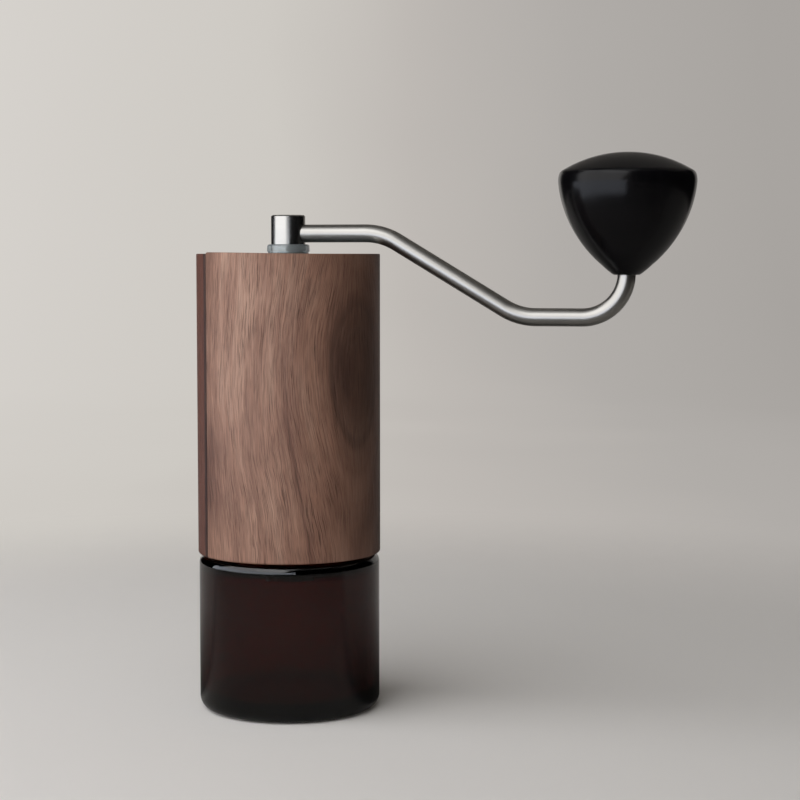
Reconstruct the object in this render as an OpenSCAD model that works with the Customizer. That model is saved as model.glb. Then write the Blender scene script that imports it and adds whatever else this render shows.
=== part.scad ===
// Hand crank coffee grinder: a veneered steel body over a glass jar, with a bent crank and a turned knob.
// Millimetres, +Z up. The origin is the centre of the jar's foot, and the crank points along +X.

/* [Body] */
// Outer diameter over the veneer
body_d = 60; // [59:0.5:66]
// Height of the veneered body
body_h = 98; // [96:1:130]
// Thickness of the veneer sheet
veneer_t = 1.2; // [0.8:0.1:1.6]
// Width of the open seam where the veneer's ends meet
seam_w = 0.5; // [0.3:0.1:1]
// Direction of the seam, counted from the crank
seam_angle = -137; // [-180:1:180]
// Wall of the steel tube under the veneer
tube_wall = 1; // [0.8:0.1:1.2]
// How far the steel tube's ends stay inside the veneer's ends
tube_inset = 0.4; // [0.2:0.1:0.8]

/* [Jar] */
// Height of the jar below the body
jar_h = 51.3; // [45:1:80]
// How much smaller the jar's radius is than the body's
jar_inset = 0.3; // [0.2:0.1:1.5]
// Wall of the glass
glass_t = 3; // [2.5:0.1:3.5]
// Thickness of the jar's floor
jar_floor = 5; // [4:0.5:7]
// Radius of the jar's foot edge
foot_r = 4; // [1.5:0.1:5]
// Radius of the jar's shoulder edge
shoulder_r = 2; // [1:0.1:2.4]
// Height of the neck above the jar's shoulder
neck_h = 12.3; // [12:0.1:13]
// Depth of the neck's thread
neck_thread_h = 1.3; // [1:0.1:1.4]
// Pitch of the neck's thread
neck_pitch = 4; // [3.6:0.1:4.4]
// Turns of the neck's thread
neck_turns = 1.25; // [1:0.25:1.5]
// Thickness of the silicone seal
seal_t = 1.5; // [1:0.1:2]

/* [Burrs] */
// Largest diameter of the inner burr
burr_d = 39; // [37:0.5:39.5]
// Height of the inner burr
burr_h = 24; // [23:0.5:24]
// Height of the outer burr
ring_h = 14; // [12:0.5:15]
// Wall of the outer burr at its wide end
ring_t = 2.3; // [2:0.1:2.5]
// Cutting teeth round each burr
burr_teeth = 24; // [12:6:30]
// Depth of the cutting teeth
tooth_h = 0.6; // [0.3:0.1:0.8]
// How far the inner burr rises from its coarsest setting to its finest
burr_travel = 3; // [1:0.5:3]

/* [Axle and bearings] */
// Axle diameter, which is the bearings' bore
axle_d = 6; // [5.5:0.1:6]
// Outer diameter of the bearings
bearing_d = 15; // [14.5:0.1:16]
// Width of the bearings
bearing_w = 5; // [4:0.5:5.5]
// Ball diameter
ball_d = 2.5; // [2.2:0.1:2.6]
// Balls in each bearing
ball_count = 8; // [6:1:9]
// Width across the flats of the axle's hexagonal end
hex_af = 5.1; // [4.5:0.1:5.2]
// Length of the hexagonal end
hex_h = 9; // [7:0.5:9]
// Wire of the burr spring
spring_wire = 1; // [0.8:0.1:1.2]
// Turns of the burr spring
spring_turns = 5; // [4:1:6]

/* [Frames] */
// Width of the arms that carry the bearings
arm_w = 5; // [4:0.5:7]
// Arms on each bearing bridge
arm_count = 3; // [3:1:4]
// Wall of the boss round each bearing
boss_wall = 2.6; // [2:0.1:3]
// Wall of the upper bridge's ring
bridge_wall = 1.8; // [1.5:0.1:2.5]
// Height of the upper bridge's ring
bridge_h = 20; // [15:1:24]

/* [Grind dial] */
// Diameter of the grip
dial_d = 28; // [26:0.5:32]
// Height of the grip
dial_h = 9.5; // [9:0.5:10]
// Diameter of the boss below the grip
dial_boss_d = 16; // [12:0.5:18]
// Length of the boss below the grip
dial_boss_h = 11.5; // [8:0.5:12]
// Clicks in one turn of the dial
clicks = 12; // [8:1:16]
// Pitch of the axle's adjusting thread
dial_pitch = 1; // [0.8:0.1:1.2]

/* [Lid] */
// Depth from the body's top to the ledge that the lid rests on
lid_recess = 4.5; // [4:0.1:5.5]
// Diameter of the lid's collar round the crank
collar_d = 13.4; // [13.2:0.1:18]
// Height of the collar above the body's top
collar_h = 3.1; // [2:0.1:3.3]
// Sheet thickness of the lid
lid_t = 1.6; // [1.2:0.1:2]

/* [Crank] */
// Hub diameter
hub_d = 11.2; // [10.5:0.1:12]
// Height of the hub above the body's top
hub_h = 12.6; // [10.5:0.1:16]
// Diameter of the bent rod
rod_d = 5.8; // [5:0.1:6.2]
// Height of the rod's upper run above the body's top
rod_rise = 6.6; // [6.6:0.1:7]
// Horizontal reach from the axle to the knob
crank_reach = 110.5; // [105:1:130]
// Distance from the axle to the corner where the rod turns down
crank_corner = 31.6; // [28:0.5:36]
// Drop from the rod's upper run to its lower run
crank_drop = 26.8; // [20:0.5:30]
// Slope of the rod's inclined run
crank_slope = 31; // [28:1:40]
// Bend radius at the inclined run's ends
bend_r = 20; // [10:1:24]
// Bend radius under the knob
end_bend_r = 14; // [10:1:16]

/* [Knob] */
// Largest diameter of the knob
knob_d = 43.6; // [41:0.2:48]
// Height of the knob
knob_h = 38.6; // [38:0.2:42]
// Height of the knob's widest place above its lower end
knob_waist = 29.4; // [28:0.2:31]
// Height of the crease between the knob's side and its dome
knob_rim = 32.7; // [31.5:0.1:33.5]
// Diameter of the knob at its crease
knob_rim_d = 41.4; // [37:0.2:42]
// Diameter of the knob's lower end
knob_foot_d = 7; // [7:0.1:9]
// Diameter of the rod's turned end inside the knob
spindle_d = 3.8; // [3.4:0.1:4.2]
// Length of the turned end
spindle_h = 21; // [16:0.5:22]

/* [Fits] */
// Radial gap between pieces that are bonded or pressed together
bond_gap = 0.02; // [0.01:0.01:0.05]
// Radial gap of a shaft in the hole that it runs in
run_gap = 0.05; // [0.02:0.01:0.08]
// Gap between pieces that move past each other
free_gap = 0.3; // [0.2:0.05:0.4]

/* [Hidden] */
$fn = 96;

// Shared small sizes
eps = 0.01;                                  // overlap of a cutter past the face that it opens
edge = 0.4;                                  // small chamfer on turned and moulded edges

// Body shell
body_r = body_d / 2;
tube_r = body_r - veneer_t;
tube_in_r = tube_r - tube_wall;
shell_gap = free_gap;                        // open line between the jar's shoulder and the body
body_z = jar_h + shell_gap;
top_z = body_z + body_h;
frame_r = tube_in_r - bond_gap;

// Jar, neck and its socket
jar_r = body_r - jar_inset;
socket_wall = 1.6;
neck_trim = 0.2;                             // how much thinner the glass is at the neck
thread_r = frame_r - socket_wall - free_gap;
neck_r = thread_r - neck_thread_h;
neck_in_r = neck_r - glass_t + neck_trim;
neck_z = jar_h + neck_h;
socket_r = neck_r + free_gap;
socket_z = body_z + tube_inset;
seal_z = neck_z + seal_t;
thread_rise = 3.2;                           // height of the thread's start above the shoulder
thread_z = jar_h + thread_rise;
thread_w = 1.8;                              // width of the thread at the neck
jar_in_r = jar_r - glass_t;
jar_bowl_r = 3;                              // inside, where the wall meets the floor
jar_shoulder_t = 3;                          // glass over the inside's shoulder
jar_shoulder_in_r = shoulder_r + 1;
jar_shoulder_in_z = jar_h - jar_shoulder_t - jar_shoulder_in_r;
neck_mouth_h = 1;                            // how far the neck's bore reaches below the shoulder

// Outer burr in its seat
burr_r = burr_d / 2;
cone_slope = 0.22;                           // how fast the cutting cone narrows upwards
touch_gap = 0.08;                            // what is left between the cones at the finest setting
ring_bottom_r = burr_r + cone_slope * burr_travel + touch_gap;
ring_r = ring_bottom_r + ring_t;
clip_t = 1.1;
clip_step = 0.7;
clip_groove = 0.9;                           // depth of the circlip's groove
clip_z = seal_z + clip_step;
ring_z = clip_z + clip_t + run_gap;
ring_top_z = ring_z + ring_h;

// Inner burr
burr_band = 1.5;                             // height of the straight band at its foot
burr_z = ring_z - burr_band;                 // its underside at the coarsest setting
burr_top_z = burr_z + burr_h;
burr_twist = 1.6;                            // degrees that the teeth turn for each millimetre of height
burr_lip = 0.6;                              // chamfer at its foot
burr_top_r = 10;
burr_nose_r = 6.4;
burr_nose_h = 1.5;
flute_h = 3.4;
flute_z = 5;                                 // height above its foot where the flutes run out
flute_count = 6;

// Bearings
axle_r = axle_d / 2;
bearing_r = bearing_d / 2;
race_t = 1.3;
ball_r = ball_d / 2;
ball_orbit = (axle_r + bearing_r) / 2;
shield_t = 0.3;
boss_r = bearing_r + boss_wall;
lip_r = bearing_r - race_t + 0.1;            // the hole in a boss's end wall
lip_t = 2.5;
burr_headroom = 2.2;                         // room over the inner burr at the finest setting
lower_bearing_z = burr_top_z + burr_travel + burr_headroom;
lower_boss_top = lower_bearing_z + bearing_w + lip_t;
lid_z = top_z - lid_recess;
rod_r = rod_d / 2;
rod_z = top_z + rod_rise;
hex_clear = 0.2;                             // between the axle's hexagonal end and the rod over it
hex_z = rod_z - rod_r - hex_clear - hex_h;   // the crank's hub stands here
stop_h = 1.6;
upper_boss_top = hex_z - stop_h;
upper_bearing_z = upper_boss_top - bearing_w;

// Axle
stop_r = axle_r + race_t - 0.1;
hex_r = hex_af / 2 / cos(30);
dial_z = burr_z - run_gap - dial_h;
axle_z = dial_z - 1;                         // the axle's lower end, inside the dial's boss
pin_r = 1;
pin_rise = 0.6;
pin_z = burr_z + burr_travel + pin_r + pin_rise;
pin_l = 12;
dial_thread_r = axle_r - 0.1;
dial_thread_h = 0.55;

// Burr spring
spring_clear = 0.5;                          // between the axle and the coil
spring_r = axle_r + spring_clear + spring_wire;
washer_t = 0.6;
washer_lip = 0.1;
washer_r = spring_r + washer_lip;
pocket_r = washer_r + free_gap;
pocket_floor = 12;                           // height of the spring's pocket above the burr's foot
pocket_z = burr_z + pocket_floor;
spring_top = lower_bearing_z - washer_t;
spring_bottom = pocket_z + washer_t;

// Grind dial
dial_r = dial_d / 2;
dial_boss_r = dial_boss_d / 2;
nut_r = 5;
nut_floor = 1;                               // of the dial below and above its nut
nut_z = dial_z + nut_floor;
nut_h = dial_h - 2 * nut_floor;
click_r = 9;
click_ball_r = 1.2;
click_pocket_h = 5;
click_sink = 0.55 * click_ball_r;            // how far the balls' centres lie below the burr
click_rise = click_ball_r - click_sink + run_gap;
scallop_r = 4;
scallop_depth = 1.3;
dial_step = 2;                               // step in the grip's radius near its top
dial_step_h = 2.5;
boss_flute_r = 2.4;
boss_flute_depth = 0.8;
dial_thread_top = nut_z + nut_h + burr_travel + free_gap;

// Lid
lid_r = tube_in_r - free_gap;
hub_r = hub_d / 2;
hub_hole_r = hub_r + free_gap;
collar_r = collar_d / 2;
lid_sink = 0.3;                              // how far the lid's rim lies below the body's top
lid_top = top_z - lid_sink;
lid_under = lid_top - lid_t;
lid_neck_h = 1.4;
lid_neck_z = lid_under - lid_neck_h;         // lower end of the neck that the hub turns in
lid_clip_t = 0.8;
lid_clip_z = lid_neck_z - free_gap - lid_clip_t;
lid_clip_depth = 0.5;
lid_rim = 0.8;                               // chamfer on the lid's upper rim
lid_skirt_r = lid_r - lid_t - edge;          // inside the rim that stands on the ledge
lid_skirt_slope = 1;                         // run and rise of the slope inside that rim
collar_foot = 0.9;                           // chamfer between the lid's plate and its collar
collar_foot_h = 0.7;
collar_edge = min(edge, (collar_r - hub_hole_r) / 2);

// Crank
hub_top = top_z + hub_h;
rod_inner_end = -2.5;                        // how far the rod reaches into the hub past the axle's line
low_z = rod_z - crank_drop;
bend_run = bend_r * tan(crank_slope / 2);
slope_l = crank_drop / sin(crank_slope);
low_corner = crank_corner + crank_drop / tan(crank_slope);
post_z = low_z + end_bend_r;
spindle_r = spindle_d / 2;
post_h = 1.9;
spindle_z = post_z + post_h;

// Knob
knob_lap = 0.5;                              // how far the knob reaches down over the bend
knob_z = post_z - knob_lap;
knob_r = knob_d / 2;
knob_foot_r = knob_foot_d / 2;
knob_rim_r = knob_rim_d / 2;
knob_belly = 1.1;                            // how far the flank is drawn in between foot and waist
knob_belly_lean = 0.8;                       // below 1 it is drawn in nearer the foot
knob_bore_r = rod_r + free_gap;
clip_rest = 2.2;                             // from the clip's groove to the spindle's end
clip_groove_z = spindle_z + spindle_h - clip_rest;
knob_clip_t = 0.6;
bush_z = spindle_z + run_gap;
bush_h = clip_groove_z - run_gap - bush_z;
bore_rest = 1;                               // between the spindle's end and the bore's
knob_bore_top = spindle_z + spindle_h + bore_rest;

// ---- shapes used by several pieces ----

// A ring standing on height z
module ring(r_out, r_in, z, h) {
    translate([0, 0, z]) difference() {
        cylinder(r = r_out, h = h);
        translate([0, 0, -eps]) cylinder(r = r_in, h = h + 2 * eps);
    }
}

// Copies of the children at equal steps round the axle
module around(count) {
    for (i = [0 : count - 1]) rotate([0, 0, 360 * i / count]) children();
}

// Points of an arc from angle a to angle b
function arc(cx, cz, r, a, b, steps = 8) =
    [for (i = [0 : steps]) let (t = a + (b - a) * i / steps) [cx + r * cos(t), cz + r * sin(t)]];

// A tube of n sides along a list of ring centres, each ring given as its n points
function skin_faces(rings, n) = concat(
    [[for (j = [0 : n - 1]) j]],
    [for (i = [0 : rings - 2], j = [0 : n - 1])
        let (a = i * n + j, b = i * n + (j + 1) % n) [b, a, b + n]],
    [for (i = [0 : rings - 2], j = [0 : n - 1])
        let (a = i * n + j, b = i * n + (j + 1) % n) [a, a + n, b + n]],
    [[for (j = [n - 1 : -1 : 0]) (rings - 1) * n + j]]
);

// Round wire wound into a coil from height z0 to z1
module coil(r, wire_r, z0, z1, turns, per_turn = 14, sides = 8) {
    rings = turns * per_turn + 1;
    points = [for (i = [0 : rings - 1], j = [0 : sides - 1])
        let (
            turn = 360 * i / per_turn,
            u = -360 * j / sides,
            rr = r + wire_r * cos(u),
            rise = z0 + wire_r + (z1 - z0 - 2 * wire_r) * i / (rings - 1)
        )
        [rr * cos(turn), rr * sin(turn), rise + wire_r * sin(u)]];
    polyhedron(points, skin_faces(rings, sides));
}

// A right-handed helical rib round a cylinder: a trapezium whose root lies inside the cylinder
module rib(root_r, crest_r, root_w, crest_w, pitch, z, turns, per_turn = 32) {
    rings = floor(turns * per_turn) + 1;
    points = [for (i = [0 : rings - 1])
        let (
            turn = 360 * i / per_turn,
            rise = z + pitch * i / per_turn,
            root = root_w / 2,
            crest = crest_w / 2
        )
        for (p = [[root_r, -root], [root_r, root], [crest_r, crest], [crest_r, -crest]])
            [p[0] * cos(turn), p[0] * sin(turn), rise + p[1]]];
    polyhedron(points, skin_faces(rings, 4));
}

// A rod with a right-handed V thread all along it
module threaded_rod(r, depth, pitch, h, per_turn = 18, per_pitch = 6) {
    rings = round(h / pitch * per_pitch) + 1;
    points = [for (i = [0 : rings - 1], j = [0 : per_turn - 1])
        let (
            z = h * i / (rings - 1),
            phase = z / pitch - j / per_turn,
            wave = abs(2 * (phase - floor(phase)) - 1),
            rr = r - depth * wave
        )
        [rr * cos(360 * j / per_turn), rr * sin(360 * j / per_turn), z]];
    polyhedron(points, skin_faces(rings, per_turn));
}

// ---- body shell ----

module veneer_sleeve() {
    color("#6d4c41") difference() {
        ring(body_r, tube_r, body_z, body_h);
        rotate([0, 0, seam_angle])
            translate([body_r - veneer_t / 2, -seam_w / 2, body_z - eps])
                cube([veneer_t, seam_w, body_h + 2 * eps]);
    }
}

module body_tube() {
    color("#b9bbbd") ring(tube_r - bond_gap, tube_in_r, socket_z, body_h - 2 * tube_inset);
}

// ---- frames ----

// Arms from a bearing's boss to a ring's wall
module arms(z, h) {
    around(arm_count) translate([boss_r - 1, -arm_w / 2, z]) cube([frame_r - boss_r + 0.2, arm_w, h]);
}

// The bore of a boss that holds a bearing against the lip at one end: the lip is below it, or above it
module boss_bore(seat_z, lip_below) {
    z0 = lip_below ? seat_z - lip_t : seat_z;
    translate([0, 0, z0 - eps]) cylinder(r = lip_r, h = bearing_w + lip_t + 2 * eps);
    translate([0, 0, lip_below ? seat_z : seat_z - 2 * eps])
        cylinder(r = bearing_r + bond_gap, h = bearing_w + 2 * eps);
}

module inner_frame() {
    funnel_z = ring_top_z + 2;
    funnel_r = ring_r - 2;
    rim_z = lower_boss_top + 1;
    wall_r = frame_r - bridge_wall;
    color("#1d1e20") difference() {
        union() {
            difference() {
                translate([0, 0, socket_z]) cylinder(r = frame_r, h = rim_z - socket_z);
                // socket for the jar's neck
                translate([0, 0, socket_z - eps]) cylinder(r = socket_r, h = seal_z - socket_z + eps);
                // seat of the outer burr, and the groove of its circlip
                translate([0, 0, seal_z - eps])
                    cylinder(r = ring_r + bond_gap, h = ring_top_z - seal_z + eps);
                translate([0, 0, clip_z]) cylinder(r = ring_r + clip_groove, h = clip_t + run_gap);
                // funnel that leads the beans to the burrs
                translate([0, 0, ring_top_z - eps])
                    cylinder(r = funnel_r, h = funnel_z - ring_top_z + 2 * eps);
                translate([0, 0, funnel_z])
                    cylinder(r1 = funnel_r, r2 = wall_r, h = lower_bearing_z - funnel_z);
                translate([0, 0, lower_bearing_z - eps])
                    cylinder(r = wall_r, h = rim_z - lower_bearing_z + 1);
            }
            arms(lower_bearing_z, lower_boss_top - lower_bearing_z);
            translate([0, 0, lower_bearing_z]) cylinder(r = boss_r, h = bearing_w + lip_t);
        }
        boss_bore(lower_bearing_z, false);
        // helical groove for the jar's thread
        rib(socket_r - 0.6, thread_r + free_gap, thread_w + 2 * free_gap, thread_w / 2 + 2 * free_gap,
            neck_pitch, thread_z - neck_pitch, neck_turns + 1.25);
    }
}

module upper_bridge() {
    z0 = lid_z - bridge_h;
    taper_h = 3;
    arm_z = upper_bearing_z - lip_t;
    color("#1d1e20") difference() {
        union() {
            difference() {
                translate([0, 0, z0]) cylinder(r = frame_r, h = bridge_h);
                translate([0, 0, z0 + taper_h]) cylinder(r = frame_r - bridge_wall, h = bridge_h);
                translate([0, 0, z0 - eps])
                    cylinder(r1 = frame_r - edge, r2 = frame_r - bridge_wall, h = taper_h + 2 * eps);
            }
            arms(arm_z, upper_boss_top - arm_z);
            translate([0, 0, arm_z]) cylinder(r = boss_r, h = bearing_w + lip_t);
        }
        boss_bore(upper_bearing_z, true);
    }
}

// ---- bearings ----

module outer_race(z) {
    color("#c8cacc") translate([0, 0, z]) rotate_extrude() difference() {
        translate([bearing_r - race_t, 0]) square([race_t, bearing_w]);
        translate([ball_orbit, bearing_w / 2]) circle(r = ball_r + run_gap);
    }
}

module inner_race(z) {
    color("#c8cacc") translate([0, 0, z]) rotate_extrude() difference() {
        translate([axle_r + bond_gap, 0]) square([race_t, bearing_w]);
        translate([ball_orbit, bearing_w / 2]) circle(r = ball_r + run_gap);
    }
}

module balls(z) {
    color("#d8dadc") translate([0, 0, z + bearing_w / 2])
        around(ball_count) translate([ball_orbit, 0, 0]) sphere(r = ball_r);
}

module cage(z) {
    cage_t = 0.7;
    cage_h = 1.4;
    color("#b0956a") translate([0, 0, z + bearing_w / 2]) difference() {
        ring(ball_orbit + cage_t / 2, ball_orbit - cage_t / 2, -cage_h / 2, cage_h);
        around(ball_count) translate([ball_orbit, 0, 0]) sphere(r = ball_r + run_gap);
    }
}

module shields(z) {
    r_out = bearing_r - race_t - bond_gap;
    r_in = axle_r + race_t + bond_gap + 0.15;
    color("#9da0a3") for (s = [0, bearing_w - shield_t]) ring(r_out, r_in, z + s, shield_t);
}

// ---- burrs ----

// Radius of the inner burr's envelope at a height above its underside
function burr_profile(h) = lookup(h, [
    [0, burr_r - burr_lip], [burr_lip, burr_r], [burr_band, burr_r],
    [ring_h, burr_r - cone_slope * (ring_h - burr_band)],
    [burr_h - burr_nose_h, burr_top_r], [burr_h, burr_nose_r]
]);

// A fluted cone: its teeth lean with the twist, and cut inwards (sign -1) or outwards (sign 1)
module toothed(heights, radii, depths, flutes, sign, per_tooth = 4) {
    n = burr_teeth * per_tooth;
    per_flute = n / flute_count;
    points = [for (i = [0 : len(heights) - 1], j = [0 : n - 1])
        let (
            saw = (j % per_tooth) / (per_tooth - 1),
            hollow = pow(sin(180 * (j % per_flute) / per_flute), 2),
            r = radii[i] + sign * (depths[i] * saw + flutes[i] * hollow),
            a = 360 * j / n + burr_twist * heights[i]
        )
        [r * cos(a), r * sin(a), heights[i]]];
    polyhedron(points, skin_faces(len(heights), n));
}

module inner_burr() {
    heights = concat(
        [0, burr_lip, burr_band, flute_z, (flute_z + ring_h) / 2],
        [ring_h, ring_h + 2, ring_h + 5, burr_h - burr_nose_h, burr_h]
    );
    radii = [for (h = heights) burr_profile(h)];
    depths = [for (h = heights) h < burr_band ? 0 : h <= ring_h ? tooth_h : 0];
    flutes = [for (h = heights)
        h <= flute_z || h == burr_h ? 0 : flute_h * min(1, (h - flute_z) / (ring_h - 3))];
    color("#8d9093") translate([0, 0, burr_z]) difference() {
        toothed(heights, radii, depths, flutes, -1);
        translate([0, 0, -eps]) cylinder(r = axle_r + run_gap, h = burr_h + 2 * eps);
        // pocket of the spring
        translate([0, 0, pocket_z - burr_z]) cylinder(r = pocket_r, h = burr_h);
        // slot that the drive pin slides in
        translate([-pin_l / 2 - free_gap, -pin_r - run_gap, -eps])
            cube([pin_l + 2 * free_gap, 2 * (pin_r + run_gap), pin_z + pin_r + run_gap - burr_z + eps]);
        // ring groove that the click balls run in, and the deeper pit at each click
        ring(click_r + click_ball_r + run_gap, click_r - click_ball_r - run_gap, -eps, click_rise + eps);
        around(clicks) translate([click_r, 0, 0]) cylinder(r = click_ball_r / 2, h = click_rise + 0.5);
    }
}

module outer_burr() {
    heights = [-0.5, 0, 1.5, ring_h / 2, ring_h, ring_h + 0.5];
    radii = [for (h = heights) ring_bottom_r - cone_slope * max(0, h)];
    depths = [for (h = heights) h <= 0 ? 0 : tooth_h * h / ring_h * 1.6 + 0.2];
    flutes = [for (h = heights) h <= 0 ? 0 : 1.2 * h / ring_h];
    color("#8d9093") translate([0, 0, ring_z]) difference() {
        cylinder(r = ring_r, h = ring_h);
        mirror([1, 0, 0]) toothed(heights, radii, depths, flutes, 1);
    }
}

module burr_circlip() {
    clip_r = ring_r + clip_groove - run_gap;
    gap_w = 6;
    color("#55585c") translate([0, 0, clip_z + run_gap / 2]) difference() {
        ring(clip_r, ring_bottom_r + 0.4, 0, clip_t);
        translate([0, -gap_w / 2, -eps]) cube([clip_r + 1, gap_w, clip_t + 2 * eps]);
    }
}

// ---- axle ----

module axle() {
    color("#c4c6c8") difference() {
        union() {
            translate([0, 0, axle_z])
                threaded_rod(dial_thread_r, dial_thread_h, dial_pitch, dial_thread_top - axle_z);
            translate([0, 0, dial_thread_top - eps]) cylinder(r = axle_r, h = hex_z - dial_thread_top + eps);
            translate([0, 0, upper_boss_top]) cylinder(r = stop_r, h = stop_h);
            translate([0, 0, hex_z]) cylinder(r = hex_r, h = hex_h, $fn = 6);
        }
        translate([-axle_r - 1, 0, pin_z]) rotate([0, 90, 0])
            cylinder(r = pin_r + bond_gap, h = axle_d + 2);
    }
}

module drive_pin() {
    color("#a9acaf") translate([-pin_l / 2, 0, pin_z]) rotate([0, 90, 0]) cylinder(r = pin_r, h = pin_l);
}

module spring_washer(z) {
    color("#a9acaf") ring(washer_r, axle_r + run_gap, z, washer_t);
}

module burr_spring() {
    color("#cfd1d3") coil(spring_r - spring_wire / 2, spring_wire / 2,
        spring_bottom, spring_top, spring_turns);
}

// ---- grind dial ----

module adjustment_dial() {
    blind_z = axle_z - burr_travel - free_gap;
    color("#222325") difference() {
        translate([0, 0, dial_z]) union() {
            cylinder(r = dial_r, h = dial_h - dial_step_h);
            translate([0, 0, dial_h - dial_step_h]) cylinder(r = dial_r - dial_step, h = dial_step_h);
            translate([0, 0, -dial_boss_h]) cylinder(r = dial_boss_r, h = dial_boss_h + 1);
        }
        // finger scallops round the grip
        around(clicks) translate([dial_r + scallop_r - scallop_depth, 0, dial_z - eps])
            cylinder(r = scallop_r, h = dial_h + 2 * eps);
        // blind bore for the axle's end, and the seat of the brass nut
        translate([0, 0, blind_z]) cylinder(r = nut_r - 1, h = dial_z + dial_h - blind_z + eps);
        translate([0, 0, nut_z]) cylinder(r = nut_r + bond_gap, h = nut_h);
        // pockets of the click springs and balls
        for (s = [-1, 1]) translate([s * click_r, 0, dial_z + dial_h - click_pocket_h])
            cylinder(r = click_ball_r + run_gap, h = click_pocket_h + eps);
        // flutes round the boss
        around(floor(clicks / 2))
            translate([dial_boss_r + boss_flute_r - boss_flute_depth, 0, dial_z - dial_boss_h - eps])
                cylinder(r = boss_flute_r, h = dial_boss_h - nut_floor);
        // index mark at the rim
        translate([dial_r - 4.5, -0.4, dial_z - eps]) cube([2.2, 0.8, 0.4]);
    }
}

module dial_nut() {
    color("#b5914a") translate([0, 0, nut_z]) difference() {
        cylinder(r = nut_r, h = nut_h);
        translate([0, 0, axle_z - nut_z - dial_pitch])
            threaded_rod(dial_thread_r + 0.18, dial_thread_h, dial_pitch,
                nut_z + nut_h - axle_z + 2 * dial_pitch);
    }
}

module click_balls() {
    color("#d8dadc") for (s = [-1, 1])
        translate([s * click_r, 0, burr_z - click_sink]) sphere(r = click_ball_r);
}

module click_springs() {
    pocket_floor = dial_z + dial_h - click_pocket_h;
    color("#cfd1d3") for (s = [-1, 1]) translate([s * click_r, 0, 0])
        coil(click_ball_r - 0.2, 0.18, pocket_floor, burr_z - click_sink - click_ball_r, 3, 10, 6);
}

// ---- lid ----

module lid() {
    collar_top = top_z + collar_h;
    color([0.85, 0.88, 0.9, 0.6]) rotate_extrude() polygon(concat(
        [[hub_hole_r, lid_neck_z], [collar_r, lid_neck_z], [collar_r, lid_under]],
        [[lid_skirt_r - lid_skirt_slope, lid_under], [lid_skirt_r, lid_z + lid_skirt_slope]],
        [[lid_skirt_r, lid_z]],
        [[lid_r, lid_z], [lid_r, lid_top - lid_rim], [lid_r - lid_rim, lid_top]],
        [[collar_r + collar_foot, lid_top], [collar_r, lid_top + collar_foot_h]],
        [[collar_r, collar_top - collar_edge], [collar_r - collar_edge, collar_top]],
        [[hub_hole_r, collar_top]]
    ));
}

// ---- crank ----

module crank_hub() {
    color("#b4b6b8") difference() {
        translate([0, 0, hex_z]) union() {
            cylinder(r = hub_r, h = hub_top - hex_z - edge);
            translate([0, 0, hub_top - hex_z - edge]) cylinder(r1 = hub_r, r2 = hub_r - edge, h = edge);
        }
        // socket for the axle's hexagonal end
        translate([0, 0, hex_z - eps]) cylinder(r = hex_r + 0.1, h = hex_h + free_gap + eps, $fn = 6);
        // groove of the circlip that carries the lid
        ring(hub_r + 1, hub_r - lid_clip_depth, lid_clip_z, lid_clip_t + run_gap);
        // cross hole for the rod
        translate([rod_inner_end - bond_gap, 0, rod_z]) rotate([0, 90, 0])
            cylinder(r = rod_r + bond_gap, h = hub_r + 5);
    }
}

// A bend that starts along +X and turns up by angle, or down if the angle is negative
module bend(r, angle) {
    mirror([0, 0, angle < 0 ? 1 : 0]) translate([0, 0, r]) rotate([90, 0, 0]) rotate([0, 0, -90])
        rotate_extrude(angle = abs(angle)) translate([r, 0]) circle(r = rod_r);
}

// A hair-thin band over the line where a straight meets a bend, so that the two join soundly
module seam() {
    rotate([0, 90, 0]) cylinder(r = rod_r + eps, h = 0.2, center = true);
}

// The rod's runs in order: each is [length, 0] for a straight, or [bend radius, angle] for a bend
module run(steps, i = 0) {
    if (i < len(steps)) {
        s = steps[i];
        if (s[1] == 0) {
            rotate([0, 90, 0]) cylinder(r = rod_r, h = s[0]);
            translate([s[0], 0, 0]) run(steps, i + 1);
        } else {
            side = sign(s[1]);
            bend(s[0], s[1]);
            seam();
            translate([s[0] * sin(abs(s[1])), 0, side * s[0] * (1 - cos(s[1]))])
                rotate([0, -s[1], 0]) {
                    seam();
                    run(steps, i + 1);
                }
        }
    }
}

module crank_rod() {
    color("#b4b6b8") difference() {
        union() {
            translate([rod_inner_end, 0, rod_z]) run([
                [crank_corner - bend_run - rod_inner_end, 0],
                [bend_r, -crank_slope],
                [slope_l - 2 * bend_run, 0],
                [bend_r, crank_slope],
                [crank_reach - end_bend_r - low_corner - bend_run, 0],
                [end_bend_r, 90],
                [post_h, 0],
            ]);
            translate([crank_reach, 0, spindle_z - eps]) cylinder(r = spindle_r, h = spindle_h + eps);
        }
        // groove of the knob's clip
        translate([crank_reach, 0, 0])
            ring(spindle_r + 1, spindle_r - 0.5, clip_groove_z, knob_clip_t + run_gap);
    }
}

module lid_circlip() {
    gap_w = 3;
    color("#55585c") translate([0, 0, lid_clip_z + run_gap / 2]) difference() {
        ring(collar_r + 0.2, hub_r - lid_clip_depth + bond_gap, 0, lid_clip_t);
        translate([0, -gap_w / 2, -eps]) cube([collar_r + 1, gap_w, lid_clip_t + 2 * eps]);
    }
}

module knob_clip() {
    color("#8d9093") translate([crank_reach, 0, clip_groove_z + run_gap / 2]) difference() {
        ring(knob_bore_r - 0.5, spindle_r - 0.5 + bond_gap, 0, knob_clip_t);
        translate([0, -spindle_r * 0.6, -eps]) cube([knob_bore_r, spindle_r * 1.2, knob_clip_t + 2 * eps]);
    }
}

// ---- knob ----

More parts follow.
